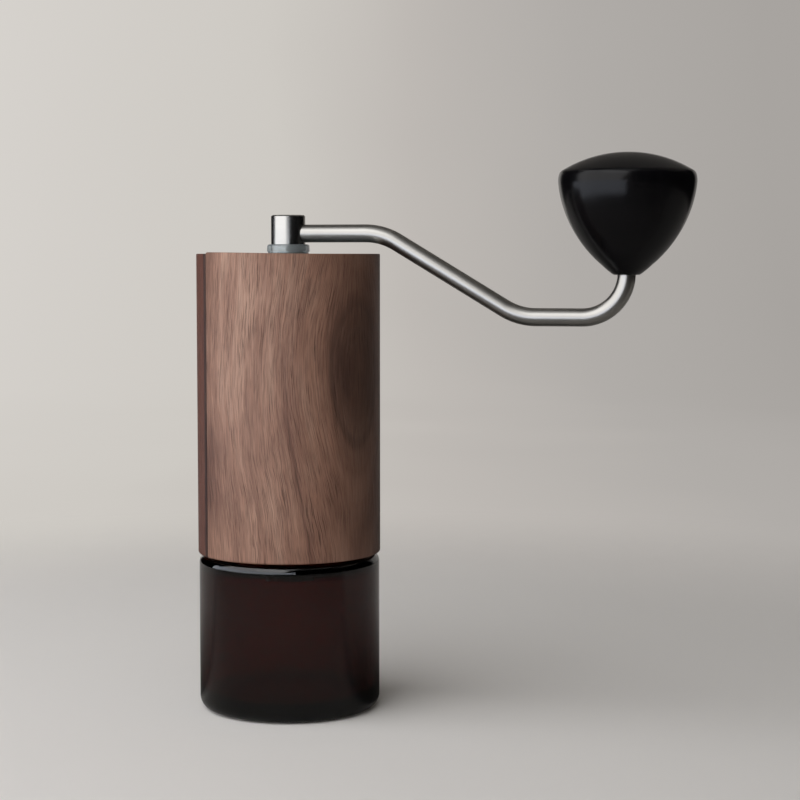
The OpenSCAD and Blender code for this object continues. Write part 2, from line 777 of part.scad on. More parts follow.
// Half outline of the knob: a flank that swells from the foot to the waist, a soft rim, and a dome
function knob_outline() =
    let (
        waist_dx = knob_r - knob_foot_r,
        flank_r = (pow(waist_dx, 2) + pow(knob_waist, 2)) / (2 * waist_dx),
        flank_a = asin(knob_waist / flank_r),
        dome_h = knob_h - knob_rim,
        dome_r = (pow(knob_rim_r, 2) + pow(dome_h, 2)) / (2 * dome_h),
        dome_a = asin(knob_rim_r / dome_r)
    )
    concat(
        [[0, 0]],
        [for (i = [0 : 20]) let (a = -flank_a * (1 - i / 20), belly = sin(180 * pow(i / 20, knob_belly_lean)))
            [knob_r - flank_r + flank_r * cos(a) - knob_belly * belly, knob_waist + flank_r * sin(a)]],
        [for (i = [1 : 5]) let (t = 90 * i / 6)
            [knob_rim_r + (knob_r - knob_rim_r) * cos(t), knob_waist + (knob_rim - knob_waist) * sin(t)]],
        [for (i = [0 : 16]) let (a = dome_a * (1 - i / 16))
            [dome_r * sin(a), knob_h - dome_r + dome_r * cos(a)]]
    );

module knob() {
    color("#0e0e10") translate([crank_reach, 0, 0]) difference() {
        translate([0, 0, knob_z]) rotate_extrude() polygon(knob_outline());
        translate([0, 0, knob_z - 1]) cylinder(r = knob_bore_r, h = knob_bore_top - knob_z + 1);
    }
}

module knob_bush() {
    color("#d9d4c4") translate([crank_reach, 0, 0])
        ring(knob_bore_r - bond_gap, spindle_r + run_gap, bush_z, bush_h);
}

// ---- jar ----

module jar_seal() {
    color("#e4e2dc") ring(neck_r - 0.1, neck_in_r + edge, neck_z + bond_gap, seal_t - 2 * bond_gap);
}

module glass_jar() {
    color([0.2, 0.09, 0.05, 0.85]) union() {
        rotate_extrude() polygon(concat(
            [[0, 0]],
            arc(jar_r - foot_r, foot_r, foot_r, -90, 0),
            arc(jar_r - shoulder_r, jar_h - shoulder_r, shoulder_r, 0, 90),
            [[neck_r, jar_h], [neck_r, neck_z - edge], [neck_r - edge, neck_z]],
            [[neck_in_r + edge, neck_z], [neck_in_r, neck_z - edge]],
            [[neck_in_r, jar_h - neck_mouth_h]],
            arc(jar_in_r - jar_shoulder_in_r, jar_shoulder_in_z, jar_shoulder_in_r, 80, 0),
            arc(jar_in_r - jar_bowl_r, jar_floor + jar_bowl_r, jar_bowl_r, 0, -90),
            [[0, jar_floor]]
        ));
        rib(neck_r - 0.5, thread_r, thread_w, thread_w / 2, neck_pitch, thread_z, neck_turns);
    }
}

// ---- nodes ----

veneer_sleeve();
body_tube();
inner_frame();
upper_bridge();
outer_burr();
burr_circlip();
outer_race(upper_bearing_z);  // upper_bearing_outer_race
shields(upper_bearing_z);  // upper_bearing_shields
outer_race(lower_bearing_z);  // lower_bearing_outer_race
shields(lower_bearing_z);  // lower_bearing_shields
axle();
drive_pin();
inner_race(upper_bearing_z);  // upper_bearing_inner_race
inner_race(lower_bearing_z);  // lower_bearing_inner_race
spring_washer(spring_top);  // upper_spring_washer
spring_washer(pocket_z);  // lower_spring_washer
burr_spring();
balls(upper_bearing_z);  // upper_bearing_balls
cage(upper_bearing_z);  // upper_bearing_cage
balls(lower_bearing_z);  // lower_bearing_balls
cage(lower_bearing_z);  // lower_bearing_cage
inner_burr();
adjustment_dial();
dial_nut();
click_balls();
click_springs();
crank_hub();
crank_rod();
lid_circlip();
knob_clip();
knob();
knob_bush();
lid();
jar_seal();
glass_jar();
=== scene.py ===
"""Hand crank coffee grinder: the looks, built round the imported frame.

Walnut veneer is wrapped round a steel tube, over a jar of dark amber glass. A brushed steel rod
bends out to an ebonised knob. Shapes are worked out in millimetres and turned to metres by MM.
"""

import math

import bpy
import numpy as np
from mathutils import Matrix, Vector


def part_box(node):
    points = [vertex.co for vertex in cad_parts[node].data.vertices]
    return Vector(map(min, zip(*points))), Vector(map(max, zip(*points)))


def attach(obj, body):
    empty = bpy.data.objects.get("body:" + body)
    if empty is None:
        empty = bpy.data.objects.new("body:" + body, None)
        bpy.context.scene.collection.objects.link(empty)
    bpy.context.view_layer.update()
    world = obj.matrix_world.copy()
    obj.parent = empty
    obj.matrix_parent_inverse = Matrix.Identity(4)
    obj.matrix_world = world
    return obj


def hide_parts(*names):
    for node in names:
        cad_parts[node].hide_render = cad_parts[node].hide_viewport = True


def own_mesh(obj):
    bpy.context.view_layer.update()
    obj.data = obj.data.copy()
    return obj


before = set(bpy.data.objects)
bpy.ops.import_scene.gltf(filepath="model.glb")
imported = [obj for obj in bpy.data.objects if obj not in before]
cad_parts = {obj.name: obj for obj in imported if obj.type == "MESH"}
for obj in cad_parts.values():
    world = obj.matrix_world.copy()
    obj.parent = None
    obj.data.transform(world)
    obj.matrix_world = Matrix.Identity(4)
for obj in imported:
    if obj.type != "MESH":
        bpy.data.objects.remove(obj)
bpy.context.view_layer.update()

MM = 0.001
TAU = 2 * math.pi


def node_box(name):
    """Lowest and highest corner of a CAD node, in millimetres."""
    return [np.array(corner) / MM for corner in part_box(name)]


# ---------------------------------------------------------------- sizes, in millimetres

sleeve_low, sleeve_high = node_box("veneer_sleeve")
tube_low, tube_high = node_box("body_tube")
jar_low, jar_high = node_box("glass_jar")
hub_low, hub_high = node_box("crank_hub")
rod_low, rod_high = node_box("crank_rod")
knob_low, knob_high = node_box("knob")
lid_low, lid_high = node_box("lid")
spring_low, spring_high = node_box("burr_spring")

# veneered sleeve, with the joint where the veneer's two ends meet
BODY_R = sleeve_high[0]
BODY_TOP = sleeve_high[2]
BODY_BOTTOM = sleeve_low[2]
SLEEVE_IN_R = tube_high[0] + 0.02
SEAM_ANGLE = math.radians(-137)
SEAM_WIDTH = 0.5
SEAM_DEPTH = 0.6
OUTER_FACE = 0.9
# past the joint the veneer's top edge stands proud, less and less round the body
EDGE_RISE = 0.45
EDGE_RISE_DEPTH = 2.0
EDGE_RISE_START = 0.03
EDGE_RISE_END = 1.5

# jar
JAR_R = jar_high[0]
SHOULDER_Z = BODY_BOTTOM - 0.3
SHOULDER_R = 3.0
NECK_R = 24.58
NECK_IN_R = 21.78
NECK_TOP = jar_high[2]
NECK_RIM = 0.4
GLASS_T = 3.0
JAR_FOOT_R = 4.0
JAR_FLOOR = 5.0
JAR_CORNER_R = 3.0
BASE_RECESS = 0.7
BASE_RECESS_R = 17.0
BASE_STAND_R = 19.0
BASE_STAND_Z = 0.02
THREAD_Z = SHOULDER_Z + 3.2
THREAD_PITCH = 4.0
THREAD_TURNS = 1.25
THREAD_H = 1.3
THREAD_HALF = 0.9
THREAD_STEEPNESS = 1.35
THREAD_FADE = 0.04

# lid
COLLAR_R = 6.7
LID_R = lid_high[1]
LID_HOLE_R = hub_high[1] + 0.3
LID_TOP = BODY_TOP - 0.3
LID_UNDER = BODY_TOP - 1.9
LID_SEAT = BODY_TOP - 4.5
LID_RIM_IN_R = LID_R - 2.0
LID_RIM_CHAMFER = 1.0
COLLAR_FLARE = 1.0
COLLAR_FLANGE = 0.3
COLLAR_FLANGE_LOW = LID_TOP + 0.7
COLLAR_FLANGE_HIGH = LID_TOP + 1.1
COLLAR_LEAN = 0.2

# crank rod and the turned spindle at its end
ROD_R = rod_high[1]
REACH = rod_high[0] - ROD_R
ROD_Z = BODY_TOP + 6.6
ROD_START = rod_low[0]
CORNER = 31.6
DROP = ROD_Z - (rod_low[2] + ROD_R)
SLOPE = math.radians(31)
BEND_R = 20.0
END_BEND_R = 14.0
END_STRAIGHT = 1.9
SPINDLE_R = 1.9
SPINDLE_H = 21.0
SPINDLE_CHAMFER = 0.3
CLIP_GROOVE = 0.5
CLIP_GROOVE_LOW = SPINDLE_H - 2.2
CLIP_GROOVE_HIGH = SPINDLE_H - 1.55
ROD_CHAMFER = 0.12

# knob
KNOB_R = knob_high[1]
KNOB_Z = knob_low[2]
KNOB_H = knob_high[2] - KNOB_Z
KNOB_WAIST = 29.4
KNOB_RIM = 32.7
KNOB_RIM_R = 20.7
KNOB_BELLY = 1.1
KNOB_BELLY_LEAN = 0.8
KNOB_FOOT_R = 3.5
KNOB_FOOT_FLARE = 0.6
KNOB_FOOT_FLARE_H = 3.2
KNOB_BORE_R = ROD_R + 0.3
KNOB_BORE_TOP = 167.3
KNOB_SOFTNESS = 0.9

# burr spring
SPRING_WIRE_R = 0.5


# ---------------------------------------------------------------- mesh making

def rounded(corners, radii, steps=6, hold=1.15):
    """Outline through the corners, each rounded by an arc tangent to its two sides.

    With unit vectors a and b from the corner along its sides and half the angle between them h, the
    arc's centre lies radius / sin h along a + b, and it touches the sides radius / tan h away. A
    point hold times as far from the corner keeps the flat beside the arc flat when it is shaded
    smooth.
    """
    corners = np.asarray(corners, float)
    out = []
    for k, (corner, radius) in enumerate(zip(corners, radii)):
        if radius == 0:
            out.append(corner)
            continue
        a = corners[k - 1] - corner
        b = corners[(k + 1) % len(corners)] - corner
        a /= np.linalg.norm(a)
        b /= np.linalg.norm(b)
        half = math.acos(np.clip(a @ b, -1, 1)) / 2
        reach = radius / math.tan(half)
        centre = corner + (a + b) / np.linalg.norm(a + b) * radius / math.sin(half)
        start, end = corner + a * reach - centre, corner + b * reach - centre
        sweep = math.pi - 2 * half
        t = np.linspace(0, 1, steps + 1)[:, None]
        blend = np.sin((1 - t) * sweep) * start + np.sin(t * sweep) * end
        out.append(corner + a * reach * hold)
        out.extend(centre + blend / math.sin(sweep))
        out.append(corner + b * reach * hold)
    return np.array(out)


def arc(cx, cz, radius, start, end, steps):
    """Points (cx + radius cos a, cz + radius sin a) for a from start to end, in degrees."""
    a = np.radians(np.linspace(start, end, steps + 1))
    return np.stack([cx + radius * np.cos(a), cz + radius * np.sin(a)], -1)


def straight(start, end, step):
    """Evenly spaced points from start to end, at most step apart."""
    start, end = np.array(start, float), np.array(end, float)
    n = max(1, int(np.ceil(np.linalg.norm(end - start) / step)))
    return start + (end - start) * (np.arange(n + 1) / n)[:, None]


def lengths(outline):
    """Length along the outline at each of its points."""
    return np.append(0, np.cumsum(np.linalg.norm(np.diff(outline, axis=0), axis=1)))


def even(count):
    """Angles at equal steps round a turn."""
    return np.arange(count) * TAU / count


def grid_faces(rows, cols, wrap_rows, wrap_cols):
    """Quads between neighbours of a rows x cols grid, and the grid place of each quad's corners."""
    i, j = np.meshgrid(
        np.arange(rows - (not wrap_rows)), np.arange(cols - (not wrap_cols)), indexing="ij"
    )
    steps = ((0, 0), (0, 1), (1, 1), (1, 0))
    corners = np.stack([np.stack([i + di, j + dj], -1) for di, dj in steps], 2).reshape(-1, 4, 2)
    return (corners[..., 0] % rows) * cols + corners[..., 1] % cols, corners


def fan(cols, row, pole, back):
    """Triangles from a pole's point to each two neighbours of a grid's row, wound back or not."""
    near = row * cols + np.arange(cols)
    far = row * cols + (np.arange(cols) + 1) % cols
    return np.stack([np.full(cols, pole), *((far, near) if back else (near, far))], -1)


def make_piece(name, points, faces, uv=None):
    """A smooth-shaded object from points in millimetres, with its faces turned outwards.

    faces is a list of index arrays, quads and triangles. A closed mesh faces outwards when the sum
    of a . (b x c) / 6 over its triangles is positive. uv holds one array per face array, corner by
    corner.
    """
    volume = 0.0
    for f in faces:
        for k in range(1, f.shape[1] - 1):
            a, b, c = points[f[:, 0]], points[f[:, k]], points[f[:, k + 1]]
            volume += np.einsum("ij,ij->i", a, np.cross(b, c)).sum()
    if volume < 0:
        faces = [f[:, ::-1] for f in faces]
        uv = [w[:, ::-1] for w in uv] if uv is not None else None
    mesh = bpy.data.meshes.new(name)
    mesh.from_pydata(points * MM, [], [row for f in faces for row in f.tolist()])
    if uv is not None:
        layer = mesh.uv_layers.new(name="UVMap")
        flat = np.concatenate([w.reshape(-1, 2) for w in uv])
        layer.data.foreach_set("uv", flat.astype(np.float32).ravel())
    mesh.shade_smooth()
    mesh.update()
    piece = bpy.data.objects.new(name, mesh)
    bpy.context.scene.collection.objects.link(piece)
    return piece


def lathe(name, outline, angles, centre_x=0.0, relief=None):
    """Revolves an outline of (radius, z) points: x = radius cos a, y = radius sin a.

    An outline that starts and ends on the axis gets a pole at each end. Any other outline is closed
    into a ring. relief(radius, z, a) may move the grid's points before they are turned. The UV map
    is the length round the widest circle and the length along the outline, both in metres.
    """
    poled = outline[0][0] < 1e-6
    ring = outline[1:-1] if poled else outline
    radius, a = np.meshgrid(ring[:, 0], angles, indexing="ij")
    z = np.repeat(ring[:, 1:2], len(angles), axis=1)
    if relief:
        radius, z = relief(radius, z, a)
    points = np.stack([centre_x + radius * np.cos(a), radius * np.sin(a), z], -1).reshape(-1, 3)
    rows, cols = radius.shape
    quads, corners = grid_faces(rows, cols, not poled, True)
    turn = np.append(angles, angles[0] + TAU) - angles[0]
    along = lengths(ring)
    along = np.append(along, along[-1] + np.linalg.norm(ring[0] - ring[-1]))
    widest = ring[:, 0].max()
    uv = [np.stack([turn[corners[..., 1]] * widest, along[corners[..., 0]]], -1) * MM]
    faces = [quads]
    if poled:
        poles = np.array([[centre_x, 0, outline[0][1]], [centre_x, 0, outline[-1][1]]])
        points = np.concatenate([points, poles])
        u = np.stack([turn[:-1], turn[1:]], -1) * widest * MM
        ends = ((0, u[:, 1], u[:, 0], True), (rows - 1, u[:, 0], u[:, 1], False))
        for pole, (row, one, other, back) in enumerate(ends, rows * cols):
            faces.append(fan(cols, row, pole, back))
            level = np.full((cols, 3), along[row] * MM)
            uv.append(np.stack([np.stack([u.mean(1), one, other], -1), level], -1))
    return make_piece(name, points, faces, uv)


# ---------------------------------------------------------------- colours and materials

def colour(code):
    """An sRGB hex code as linear RGBA.

    Each channel c becomes c / 12.92 below 0.04045, and ((c + 0.055) / 1.055) ** 2.4 above.
    """
    c = np.array([int(code[k : k + 2], 16) for k in (1, 3, 5)]) / 255
    linear = np.where(c <= 0.04045, c / 12.92, ((c + 0.055) / 1.055) ** 2.4)
    return (*map(float, linear), 1.0)


def cells(*sizes):
    """Noise cells a metre along each axis, from the width of one cell in millimetres."""
    return tuple(1000 / size for size in sizes)


class Finish:
    """A material, with one function that adds any of its nodes."""

    def __init__(self, name):
        self.material = bpy.data.materials.new(name)
        self.material.use_nodes = True
        self.tree = self.material.node_tree
        self.shader = self.tree.nodes["Principled BSDF"]

    def put(self, socket, value):
        """Links a node's first open output, or an output, to a socket, or sets the socket."""
        if isinstance(value, bpy.types.Node):
            value = next(output for output in value.outputs if output.enabled)
        if isinstance(value, bpy.types.NodeSocket):
            self.tree.links.new(value, socket)
        else:
            socket.default_value = colour(value) if isinstance(value, str) else value

    def add(self, kind, *values, stops=(), **named):
        """Adds a node with its settings and links, and returns it.

        kind may hold the node's operation after a space. values go to its open sockets in order. A
        name with a capital is a socket's, with _ for a space, and any other is a setting's. stops
        are a colour ramp's places and hex codes, of which the first two are its ends.
        """
        kind, _, operation = kind.partition(" ")
        node = self.tree.nodes.new("ShaderNode" + kind)
        if operation:
            node.operation = operation
        for key, value in named.items():
            if key.islower():
                setattr(node, key, value)
        for socket, value in zip([socket for socket in node.inputs if socket.enabled], values):
            self.put(socket, value)
        for key, value in named.items():
            if not key.islower():
                self.put(node.inputs[key.replace("_", " ")], value)
        for k, (spot, code) in enumerate(stops):
            marks = node.color_ramp.elements
            mark = marks[k] if k < 2 else marks.new(spot)
            mark.position, mark.color = spot, colour(code)
        return node

    def end(self, socket, value):
        """Gives the material's output its surface or volume."""
        self.put(self.tree.nodes["Material Output"].inputs[socket], value)

    def set(self, **inputs):
        """Sets sockets of the main shader, named with _ for a space."""
        for key, value in inputs.items():
            self.put(self.shader.inputs[key.replace("_", " ")], value)
        return self.material


SMOOTH = {"interpolation_type": "SMOOTHSTEP"}
RGBA = {"data_type": "RGBA"}


def walnut_veneer():
    """Sliced walnut wrapped round a tube and finished with satin oil.

    It shows brown wood with short dark pores and a soft sheen. u runs round the body from the seam
    and v up it, in millimetres, with x = u - 58 plus a slow warp, larger towards the foot. The
    growth rings follow f = sqrt(x^2 + w^2) round the heart of a limb, with
    w = 24 tanh(0.5 (v - 60) / 24). The pores follow p = x sqrt(1 + w^2 / (x^2 + 64)), which bends
    less. Real pores are about 0.2 mm wide and 3 to 9 mm long.
    """
    g = Finish("walnut_veneer_satin_oil")
    in_mm = g.add("VectorMath MULTIPLY", g.add("TexCoord").outputs["UV"], (1000, 1000, 1000))
    u, v, _ = g.add("SeparateXYZ", in_mm).outputs

    def streaks(across, width, length, detail=2.0, rough=0.5, seed=0.0, stagger=0.0):
        """Noise drawn out along the grain, width by length in millimetres.

        stagger shifts each streak along by its place across, so that neighbours don't start
        side by side.
        """
        side = g.add("Math MULTIPLY", across, 1 / width)
        along = g.add("Math MULTIPLY_ADD", side, stagger, g.add("Math MULTIPLY", v, 1 / length))
        return g.add("TexNoise", g.add("CombineXYZ", side, along, seed), 1, detail, rough)

    def close_to(value, centre, near, far):
        """One within near of centre, nought beyond far."""
        away = g.add("Math ABSOLUTE", g.add("Math SUBTRACT", value, centre))
        return g.add("MapRange", away, near, far, 1.0, 0.0, **SMOOTH)

    # the field that the grain follows
    foot = g.add("MapRange", v, 50, 8, 1.0, 2.0)
    warp = g.add("Math MULTIPLY_ADD", streaks(u, 22, 46, 1), 3.6, -1.8)
    wobble = g.add("Math MULTIPLY_ADD", streaks(u, 8, 12, 2, seed=3.0), 0.9, -0.45)
    ripple = g.add("Math MULTIPLY", wobble, foot)
    x = g.add("Math ADD", g.add("Math SUBTRACT", u, 58.0), g.add("Math ADD", warp, ripple))
    lift = g.add("Math MULTIPLY", g.add("Math SUBTRACT", v, 60.0), 0.5 / 24)
    w = g.add("Math MULTIPLY", g.add("Math TANH", lift), 24.0)
    xx = g.add("Math MULTIPLY", x, x)
    ww = g.add("Math MULTIPLY", w, w)
    f = g.add("Math SQRT", g.add("Math ADD", xx, ww))
    bend = g.add("Math ADD", 1.0, g.add("Math DIVIDE", ww, g.add("Math ADD", xx, 64.0)))
    p = g.add("Math MULTIPLY", x, g.add("Math SQRT", bend))

    # tone: growth bands, clouds and lines, a paler stripe up the left, a darker patch low beside
    # the seam, and painted shade beside the seam, darker towards it
    bands = streaks(f, 6, 120, 3, 0.6)
    lines = streaks(p, 1.1, 60, 3, 0.65, 5.0, 0.31)
    cloud = streaks(u, 9, 26, 2, 0.55, 9.0)
    stripe = g.add("Math MULTIPLY", close_to(u, 15.0, 1.0, 9.0), g.add("MapRange", v, 25, 60))
    patch = g.add("Math MULTIPLY", close_to(u, 4.0, 2.0, 12.0), close_to(v, 26.0, 6.0, 26.0))
    # painted shade: darker over the first 12 mm past the seam, so that the lit side falls off
    # sooner
    painted_shade_beside_seam = g.add("MapRange", u, 1, 12, 1.0, 0.0)
    tone = 0.05
    for part, share in (
        (bands, 0.4),
        (cloud, 0.24),
        (lines, 0.26),
        (stripe, 0.07),
        (patch, -0.14),
        (painted_shade_beside_seam, -0.06),
    ):
        tone = g.add("Math MULTIPLY_ADD", part, share, tone)
    wood = g.add("ValToRGB", tone, stops=((0.3, "#604134"), (0.72, "#b3937f"), (0.5, "#906d5b")))

    # where it is darker: inside the arch of rings, its edge, the heart and the ring round it,
    # painted shade on the side turned from the light, and the sheet's other end, which comes from
    # redder wood
    arch = g.add("MapRange", f, 26.5, 28.0, 1.0, 0.0, **SMOOTH)
    inside = g.add("Math MULTIPLY", arch, g.add("MapRange", f, 12, 27, 0.3, 1.0))
    edge = g.add("Math MULTIPLY", close_to(f, 26.6, 0.1, 0.7), g.add("MapRange", v, 48, 36))
    core = g.add("MapRange", f, 6.0, 16.0, 1.0, 0.0, **SMOOTH)
    heart = g.add("Math MULTIPLY", core, g.add("MapRange", cloud, 0.25, 0.6, 1.0, 0.8))
    heart_ring = close_to(f, 10.5, 0.2, 1.3)
    # painted shade: darker from 44 to 76 mm past the seam and on round the back, the side turned
    # from the light
    painted_shade_far_side = g.add("MapRange", u, 44, 76)
    other_end = g.add("MapRange", u, 168, 184, **SMOOTH)

    # the grain: fibres that catch light, fine and long flecks, pores and the seam's dark line
    fibre = streaks(p, 0.3, 16, 2, 0.6, 2.0, 0.37)
    pores = g.add("MapRange", streaks(p, 0.22, 9, 2, 0.5, 7.0, 0.43), 0.53, 0.6, **SMOOTH)
    crowd = g.add("MapRange", streaks(f, 2.8, 30, 2, 0.5, 4.0), 0.35, 0.6, 0.35, 1.0)
    pores = g.add("Math MULTIPLY", pores, crowd)
    long = g.add("MapRange", streaks(p, 0.3, 22, 2, 0.55, 13.0, 0.53), 0.56, 0.65, **SMOOTH)
    fine = g.add("MapRange", streaks(p, 0.2, 6, 1, 0.4, 11.0, 0.61), 0.5, 0.64)
    from_seam = g.add("Math PINGPONG", u, math.pi * BODY_R)
    seam = g.add("MapRange", from_seam, 0.3, 1.3, 1.0, 0.0)

    for mask, share, code, blend in (
        (inside, 0.2, "#63443a", "MIX"),
        (edge, 0.45, "#4a2c24", "MIX"),
        (heart, 0.8, "#2f1f18", "MIX"),
        (heart_ring, 0.35, "#281812", "MIX"),
        (painted_shade_far_side, 0.7, "#35221a", "MIX"),
        (other_end, 0.6, "#613328", "MIX"),
        (g.add("MapRange", fibre, 0.35, 0.7), 0.3, "#c4a698", "SOFT_LIGHT"),
        (fine, 0.36, "#472f26", "MIX"),
        (long, 0.36, "#43291f", "MIX"),
        (pores, 0.66, "#321d16", "MIX"),
        (seam, 0.85, "#24120d", "MIX"),
    ):
        amount = g.add("Math MULTIPLY", mask, share)
        wood = g.add("Mix", amount, wood, code, blend_type=blend, **RGBA)

    raised = g.add("Math MULTIPLY", fibre, 0.3)
    height = g.add("Math SUBTRACT", raised, g.add("Math MAXIMUM", pores, long))
    return g.set(
        Base_Color=wood,
        Roughness=g.add("MapRange", pores, 0, 1, 0.48, 0.7),
        Specular_IOR_Level=0.28,
        Normal=g.add("Bump", Height=height, Distance=0.05 * MM, Strength=0.6),
    )


def amber_glass():
    """Pressed soda-lime glass, coloured a dark amber right through.

    It shows black-brown with red where it is thin, sharp highlights, and the slight waves of a
    pressed surface, 22 mm long. The volume lets exp(-density (1 - colour) length) through, so
    thick glass is darker than thin.
    """
    g = Finish("pressed_amber_glass")
    place = g.add("TexCoord").outputs["Object"]
    patches = g.add("VectorMath MULTIPLY", place, cells(33.3, 33.3, 16.7))
    smears = g.add("TexNoise", place, *cells(3.33))
    waves = g.add("TexNoise", place, *cells(22.2), 1)
    tint = g.add("TexNoise", patches, 1.0)
    g.set(
        Base_Color=g.add("Mix", tint, "#ca9e84", "#bd8f74", **RGBA),
        Transmission_Weight=1.0,
        IOR=1.5,
        Roughness=g.add("MapRange", smears, 0.3, 0.7, 0.004, 0.012),
        Normal=g.add("Bump", Height=waves, Distance=0.02 * MM, Strength=0.4),
    )
    g.end("Volume", g.add("VolumeAbsorption", Color="#bd6c31", Density=850.0))
    return g.material


def metal(name, light, dark, low, high, marks, depth=0.004, source="Object"):
    """A metal with its finishing marks, whose width along each axis is in millimetres.

    Its roughness runs from low to high with the marks and with clouds 17 mm wide. depth is the
    marks' depth in millimetres. Marks finer than about 0.4 mm are drawn at that width, to show.
    """
    g = Finish(name)
    place = g.add("TexCoord").outputs[source]
    scaled = g.add("VectorMath MULTIPLY", place, cells(*marks))
    lines = g.add("TexNoise", scaled, 1, 2, 0.6)
    cloud = g.add("TexNoise", place, *cells(16.7), 2)
    worn = g.add(
        "Math ADD", g.add("Math MULTIPLY", lines, 0.6), g.add("Math MULTIPLY", cloud, 0.4)
    )
    return g.set(
        Base_Color=g.add("Mix", g.add("Math MULTIPLY", cloud, lines), light, dark, **RGBA),
        Metallic=1.0,
        Roughness=g.add("MapRange", worn, 0.3, 0.7, low, high),
        Normal=g.add("Bump", Height=lines, Distance=depth * MM, Strength=0.5),
    )


def polymer(name, light, dark, rough, grain=0.25, **inputs):
    """A polymer with the fine grain of its mould or tool, grain millimetres across.

    The real grain is about 0.03 mm across and is drawn coarser, to show.
    """
    g = Finish(name)
    place = g.add("TexCoord").outputs["Object"]
    fine = g.add("TexNoise", place, *cells(grain), 2)
    cloud = g.add("TexNoise", place, *cells(28.6), 2)
    return g.set(
        Base_Color=g.add("Mix", cloud, light, dark, **RGBA),
        Roughness=g.add("MapRange", fine, 0.3, 0.7, rough - 0.05, rough + 0.07),
        Normal=g.add("Bump", Height=fine, Distance=0.01 * MM, Strength=0.5),
        **inputs,
    )


def ebonised_wood():
    """Beech turned on a lathe, stained black and lacquered satin.

    It shows near black with soft highlights, faintly drawn out by upright grain. The grain is
    drawn 2.4 mm wide, several times coarser than beech's, to show through the stain.
    """
    g = Finish("turned_ebonised_beech")
    place = g.add("TexCoord").outputs["Object"]
    scaled = g.add("VectorMath MULTIPLY", place, cells(2.38, 2.38, 35.7))
    grain = g.add("TexNoise", scaled, 1, 2, 0.6)
    cloud = g.add("TexNoise", place, *cells(25), 2)
    sheen = g.add(
        "Math ADD", g.add("Math MULTIPLY", grain, 0.5), g.add("Math MULTIPLY", cloud, 0.5)
    )
    return g.set(
        Base_Color=g.add("Mix", grain, "#050506", "#0d0c0e", **RGBA),
        Roughness=g.add("MapRange", sheen, 0.35, 0.65, 0.15, 0.24),
        Specular_IOR_Level=0.16,
        Normal=g.add("Bump", Height=grain, Distance=0.02 * MM, Strength=0.35),
    )


# ---------------------------------------------------------------- the veneered sleeve

def seam_angles(reach=1.2, fine=33, coarse=700):
    """Angles round the sleeve from the seam: finely spaced within reach degrees, then coarsely."""
    near = np.radians(np.linspace(-reach, reach, fine))
    rest = np.linspace(near[-1], TAU + near[0], coarse)[1:-1]
    return SEAM_ANGLE + np.concatenate([near, rest])


def fall(t):
    """Falls smoothly from one at t = 0 to nought at t = 1: (1 + cos(pi t)) / 2."""
    return 0.5 * (1 + np.cos(np.pi * np.clip(t, 0, 1)))


def sleeve_relief(radius, z, a):
    """Sinks the seam and lets the veneer's edge stand a little proud of the tube past the seam.

    The groove is its depth times fall(d / w) for a distance d from the seam and its width w. The
    rise is a ramp up past the seam times fall of the turn, and only reaches down EDGE_RISE_DEPTH.
    """
    turn = (a - SEAM_ANGLE + math.pi) % TAU - math.pi
    outer = radius > BODY_R - OUTER_FACE
    radius = radius - SEAM_DEPTH * fall(np.abs(turn * BODY_R) / SEAM_WIDTH) * outer
    past = np.clip(turn / EDGE_RISE_START, 0, 1) * fall(turn / EDGE_RISE_END)
    top = np.clip((z - (BODY_TOP - EDGE_RISE_DEPTH)) / EDGE_RISE_DEPTH, 0, 1)
    return radius, z + EDGE_RISE * past * top


def make_sleeve():
    """Revolves the wall's rounded rectangle. v of its UV map is the height over the lower edge."""
    corners = [
        (SLEEVE_IN_R, BODY_BOTTOM),
        (BODY_R, BODY_BOTTOM),
        (BODY_R, BODY_TOP),
        (SLEEVE_IN_R, BODY_TOP),
    ]
    outline = rounded(corners, (0.15, 0.65, 0.3, 0.15))
    piece = lathe("walnut_veneer_sleeve", outline, seam_angles(), relief=sleeve_relief)
    mesh = piece.data
    vertex = np.empty(len(mesh.loops), int)
    mesh.loops.foreach_get("vertex_index", vertex)
    where = np.empty(len(mesh.vertices) * 3)
    mesh.vertices.foreach_get("co", where)
    uv = np.empty(len(mesh.loops) * 2)
    mesh.uv_layers[0].data.foreach_get("uv", uv)
    uv = uv.reshape(-1, 2)
    uv[:, 1] = where.reshape(-1, 3)[vertex, 2] - BODY_BOTTOM * MM
    mesh.uv_layers[0].data.foreach_set("uv", uv.astype(np.float32).ravel())
    return piece


# ---------------------------------------------------------------- the jar

def jar_relief(radius, z, a):
    """Raises the neck's thread: a rounded ridge whose height is pitch times turns round the neck.

    At a distance d above or below its line the ridge is THREAD_STEEPNESS - d / THREAD_HALF, kept
    between nought and one, and it fades out over THREAD_FADE turns at each end.
    """
    turn = (a % TAU) / TAU
    on_neck = (radius > NECK_R - 0.05) & (radius < NECK_R + 0.05) & (z > SHOULDER_Z + 0.5)
    ridge = np.zeros_like(radius)
    for lap in range(2):
        along = turn + lap
        line = THREAD_Z + THREAD_PITCH * along
        fade = np.clip(np.minimum(along, THREAD_TURNS - along) / THREAD_FADE, 0, 1)
        height = np.clip(THREAD_STEEPNESS - np.abs(z - line) / THREAD_HALF, 0, 1)
        ridge = np.maximum(ridge, fade * height)
    return radius + THREAD_H * ridge * on_neck, z


